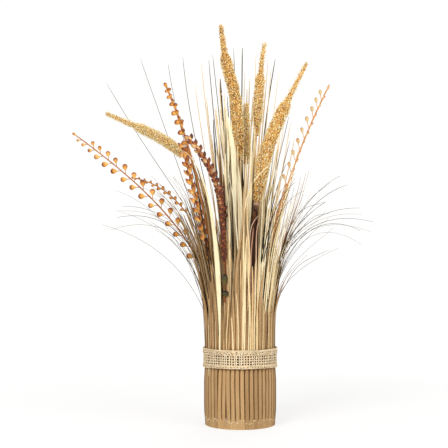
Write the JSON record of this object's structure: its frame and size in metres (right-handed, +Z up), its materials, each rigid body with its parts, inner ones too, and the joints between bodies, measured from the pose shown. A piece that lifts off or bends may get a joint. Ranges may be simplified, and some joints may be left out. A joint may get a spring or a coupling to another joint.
{
  "type": "standing dried grass sheaf",
  "caption": "Sheaf of dried grasses tied with a burlap band, standing on its own cut ends, with foxtail heads, budded sprays, pale leaves and thin arching blades.",
  "frame": {"origin": "middle of the round foot, on the surface that it stands on", "axes": "+Z up along the foot's axis; +X to the right and -Y towards the viewer in the front view, with the long budded spray leaning to -X"},
  "size_m": [0.4564, 0.2973, 0.5993],
  "materials": {
    "straw": "matte",
    "golden_seed": "matte",
    "orange_bud": "satin",
    "cream_leaf": "matte",
    "dry_blade": "matte",
    "burlap": "matte"
  },
  "bodies": {
    "root": {"grass_clump_01": "straw", "grass_clump_02": "straw", "grass_clump_03": "straw", "grass_clump_04": "straw", "grass_clump_05": "straw", "grass_clump_06": "straw", "grass_clump_07": "straw", "grass_clump_08": "straw", "grass_clump_09": "straw", "grass_clump_10": "straw", "grass_clump_11": "straw", "grass_clump_12": "straw", "burlap_band": "burlap", "straw_tuft_1": "straw", "straw_tuft_2": "straw", "straw_tuft_3": "straw", "straw_tuft_4": "straw", "straw_tuft_5": "straw", "straw_tuft_6": "straw", "foxtail_1": "golden_seed", "foxtail_2": "golden_seed", "foxtail_3": "golden_seed", "foxtail_4": "golden_seed", "foxtail_5": "golden_seed", "bud_spray_1": "orange_bud", "bud_spray_2": "orange_bud", "bud_spray_3": "orange_bud", "bud_spray_4": "orange_bud", "bud_spray_5": "orange_bud", "bud_spray_6": "orange_bud", "bud_spray_7": "orange_bud", "cream_leaf_1": "cream_leaf", "cream_leaf_2": "cream_leaf", "cream_leaf_3": "cream_leaf", "cream_leaf_4": "cream_leaf", "cream_leaf_5": "cream_leaf", "cream_leaf_6": "cream_leaf", "tall_blade_1": "dry_blade", "tall_blade_2": "dry_blade", "tall_blade_3": "dry_blade", "tall_blade_4": "dry_blade", "tall_blade_5": "dry_blade", "tall_blade_6": "dry_blade", "tall_blade_7": "dry_blade", "tall_blade_8": "dry_blade", "arching_blade_01": "dry_blade", "arching_blade_02": "dry_blade", "arching_blade_03": "dry_blade", "arching_blade_04": "dry_blade", "arching_blade_05": "dry_blade", "arching_blade_06": "dry_blade", "arching_blade_07": "dry_blade", "arching_blade_08": "dry_blade", "arching_blade_09": "dry_blade", "arching_blade_10": "dry_blade", "arching_blade_11": "dry_blade"}
  },
  "joints": []
}
